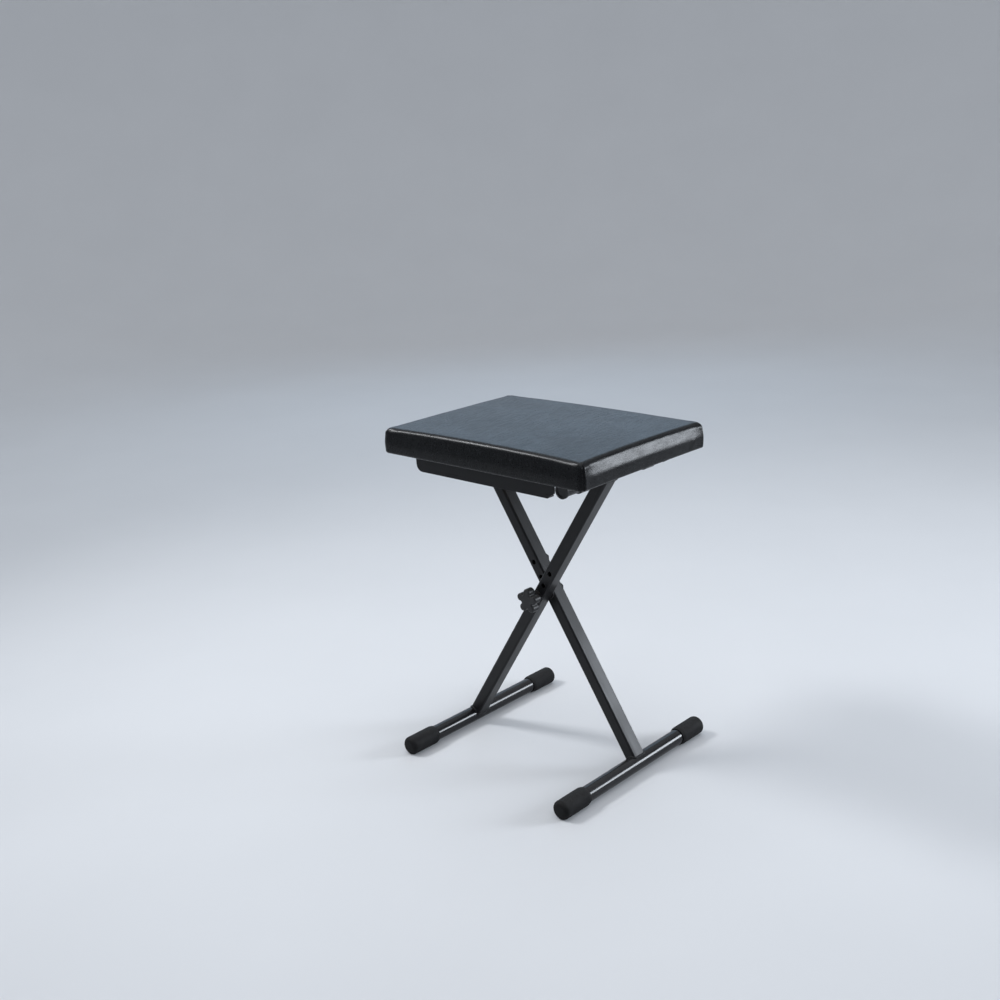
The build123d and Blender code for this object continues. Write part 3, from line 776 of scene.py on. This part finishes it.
def weld_bead(name, body, leg, bar, paint):
    """A rippled bead where a leg tube meets a round bar or foot."""
    path = bead_path(leg, bar)
    vertices, quads, walked = [], [], 0.0
    total = len(path)
    for k, (spot, out) in enumerate(path):
        ahead = path[(k + 1) % total][0] - path[k - 1][0]
        walked += (spot - path[k - 1][0]).length
        binormal = ahead.normalized().cross(out)
        swell = abs(math.sin(math.pi * walked / POOL))
        thick = BEAD * (BEAD_LOW + BEAD_SWELL * swell)
        for r in range(RING_POINTS):
            angle = 2 * math.pi * r / RING_POINTS
            vertices.append(spot + thick * (math.cos(angle) * out + math.sin(angle) * binormal))
            after = (r + 1) % RING_POINTS
            here, there = k * RING_POINTS, (k + 1) % total * RING_POINTS
            quads.append((here + r, here + after, there + after, there + r))
    mesh = bpy.data.meshes.new(name)
    mesh.from_pydata(vertices, [], quads)
    mesh.shade_smooth()
    mesh.materials.append(paint)
    bead = bpy.data.objects.new(name, mesh)
    scene.collection.objects.link(bead)
    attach(bead, body)
    print(name, len(vertices), "points")


weld_bead("weld_front_leg_top", "front_leg", "front_leg_tube", "hinge_bar", front_leg_paint)
weld_bead("weld_front_leg_foot", "front_leg", "front_leg_tube", "left_foot_tube", front_leg_paint)
weld_bead("weld_back_leg_top", "back_leg", "back_leg_tube", "slide_bar", back_leg_paint)
weld_bead("weld_back_leg_foot", "back_leg", "back_leg_tube", "right_foot_tube", back_leg_paint)

# %% [markdown]
# ## Floor
# The floor is a wide pale sheet that bends up far behind, all round, like a photographer's paper roll. When
# the bench folds, its seat stays in place and its feet move down, so the floor copies the height of the left
# foot.

# %% Shape of the floor
FLOOR_FLAT = 3.6
FLOOR_RINGS = (0.4, 1.0, 2.0, 3.0, FLOOR_FLAT)
COVE = 2.4
COVE_STEP = 9
WALL_TOP = 4.5
SPOKES = 96
foot_mark = bpy.data.objects.new("foot_mark", None)
scene.collection.objects.link(foot_mark)
foot_mark.location = middle("left_foot_tube")
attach(foot_mark, "front_leg")
profile = [(radius, 0.0) for radius in FLOOR_RINGS]
for angle in range(COVE_STEP, 91, COVE_STEP):
    bend = math.radians(angle)
    profile.append((FLOOR_FLAT + COVE * math.sin(bend), COVE * (1 - math.cos(bend))))
profile.append((FLOOR_FLAT + COVE, WALL_TOP))
vertices = [(0, 0, -foot_mark.location.z)]
quads = [(0, 1 + s, 1 + (s + 1) % SPOKES) for s in range(SPOKES)]
for number, (radius, height) in enumerate(profile):
    for s in range(SPOKES):
        angle = 2 * math.pi * s / SPOKES
        vertices.append((radius * math.cos(angle), radius * math.sin(angle), height - foot_mark.location.z))
        here, inner = 1 + number * SPOKES, 1 + (number - 1) * SPOKES
        after = (s + 1) % SPOKES
        if number:
            quads.append((inner + s, here + s, here + after, inner + after))
floor_mesh = bpy.data.meshes.new("floor")
floor_mesh.from_pydata(vertices, [], quads)
floor_mesh.shade_smooth()
print("floor", 2 * FLOOR_FLAT, "m of flat paper")

# %% Paper floor that follows the feet
floor = bpy.data.objects.new("floor", floor_mesh)
scene.collection.objects.link(floor)
follow = floor.constraints.new("COPY_LOCATION")
follow.target = foot_mark
follow.use_x = follow.use_y = False
PAPER, PALE_PAPER = (0.7, 0.71, 0.725), (0.74, 0.75, 0.765)
paper, tree, shader = start_material("pale paper", Roughness=0.85, Specular_IOR_Level=0.15)
where = add(tree, "TexCoord").outputs["Object"]
fibre = add(tree, "TexNoise", {"Vector": where, "Scale": 3.0, "Detail": 6.0})
feed(tree, shader, Base_Color=tint(tree, fibre.outputs["Fac"], PAPER, PALE_PAPER))
floor_mesh.materials.append(paper)
print("floor follows", follow.target.name)

# %% [markdown]
# ## Studio light
# Black things are drawn by what they reflect, so each light has a place on the bench where it shows. The
# right soft box stands low and gives the bright band on the seat's right side, the sheen on the legs and the
# line along the feet. The rear one lies on the top as a blue-grey sheen, the overhead one lifts the floor,
# and the small left light draws the thin line along the front edge. A grid on two of them spares the floor.

# %% Soft boxes
LIT_POINT = Vector((0, 0, 0.3))
WHITE, COOL, BLUE = (0.95, 0.97, 1.0), (0.86, 0.92, 1.0), (0.5, 0.74, 1.0)
NO_GRID, GRID = 180, 70


def soft_box(name, direction, distance, size, power, colour, spread_angle):
    """An area light that looks at the middle of the bench. A grid in front of it narrows its spread."""
    light = bpy.data.lights.new(name, "AREA")
    light.shape = "RECTANGLE"
    light.size, light.size_y = size
    light.energy = power
    light.spread = math.radians(spread_angle)
    light.color = colour
    lamp = bpy.data.objects.new(name, light)
    scene.collection.objects.link(lamp)
    lamp.location = LIT_POINT + Vector(direction).normalized() * distance
    lamp.rotation_mode = "QUATERNION"
    lamp.rotation_quaternion = (LIT_POINT - lamp.location).to_track_quat("-Z", "Y")
    lamp.visible_camera = False
    print("light", name, power, "W")


soft_box("right soft box", (0.69, 0.73, 0.21), 4.0, (1.3, 1.25), 16.0, COOL, GRID)
soft_box("rear soft box", (-0.62, 0.69, 0.42), 3.4, (2.4, 1.4), 8.5, BLUE, NO_GRID)
soft_box("overhead soft box", (-0.1, 0.1, 1.0), 3.2, (3.0, 3.0), 26.0, WHITE, NO_GRID)
soft_box("left light", (-0.62, -0.36, 0.68), 3.0, (0.6, 0.6), 6.0, WHITE, GRID)

# %% Room light
ROOM_COLOUR = (0.9, 0.94, 1.0, 1)
ROOM_STRENGTH = 0.6
world = bpy.data.worlds.new("studio")
world.use_nodes = True
background = world.node_tree.nodes["Background"]
background.inputs["Color"].default_value = ROOM_COLOUR
background.inputs["Strength"].default_value = ROOM_STRENGTH
scene.world = world
scene.view_settings.view_transform = "Standard"
print("room light", ROOM_STRENGTH)

# %% [markdown]
# ## Camera
# The camera looks from the front right, a little above the seat. Its place was fitted to the corners of the
# seat and the ends of the feet, with a lens that gives the same perspective.

# %% Camera
AZIMUTH, ELEVATION, DISTANCE = math.radians(41.96), math.radians(21.7), 1.9841
LOOK_AZIMUTH, LOOK_ELEVATION, ROLL = math.radians(44.07), math.radians(16.7), math.radians(-3.06)
TARGET = Vector((0, 0, 0.24))
FOCAL_LENGTH, SENSOR_WIDTH = 44.82, 36.0


def bearing_vector(azimuth, elevation):
    """The direction from the bench to a viewer."""
    level = math.cos(elevation)
    return Vector((math.sin(azimuth) * level, -math.cos(azimuth) * level, math.sin(elevation)))


back = bearing_vector(LOOK_AZIMUTH, LOOK_ELEVATION)
right = Vector((math.cos(LOOK_AZIMUTH), math.sin(LOOK_AZIMUTH), 0))
up = back.cross(right)
rolled_right = right * math.cos(ROLL) + up * math.sin(ROLL)
rolled_up = up * math.cos(ROLL) - right * math.sin(ROLL)
lens = bpy.data.cameras.new("camera")
lens.lens = FOCAL_LENGTH
lens.sensor_width = SENSOR_WIDTH
camera = bpy.data.objects.new("camera", lens)
scene.collection.objects.link(camera)
facing = Matrix((rolled_right, rolled_up, back)).transposed().to_4x4()
stand = TARGET + DISTANCE * bearing_vector(AZIMUTH, ELEVATION)
camera.matrix_world = Matrix.Translation(stand) @ facing
scene.camera = camera
print("camera", [round(value, 3) for value in camera.location])
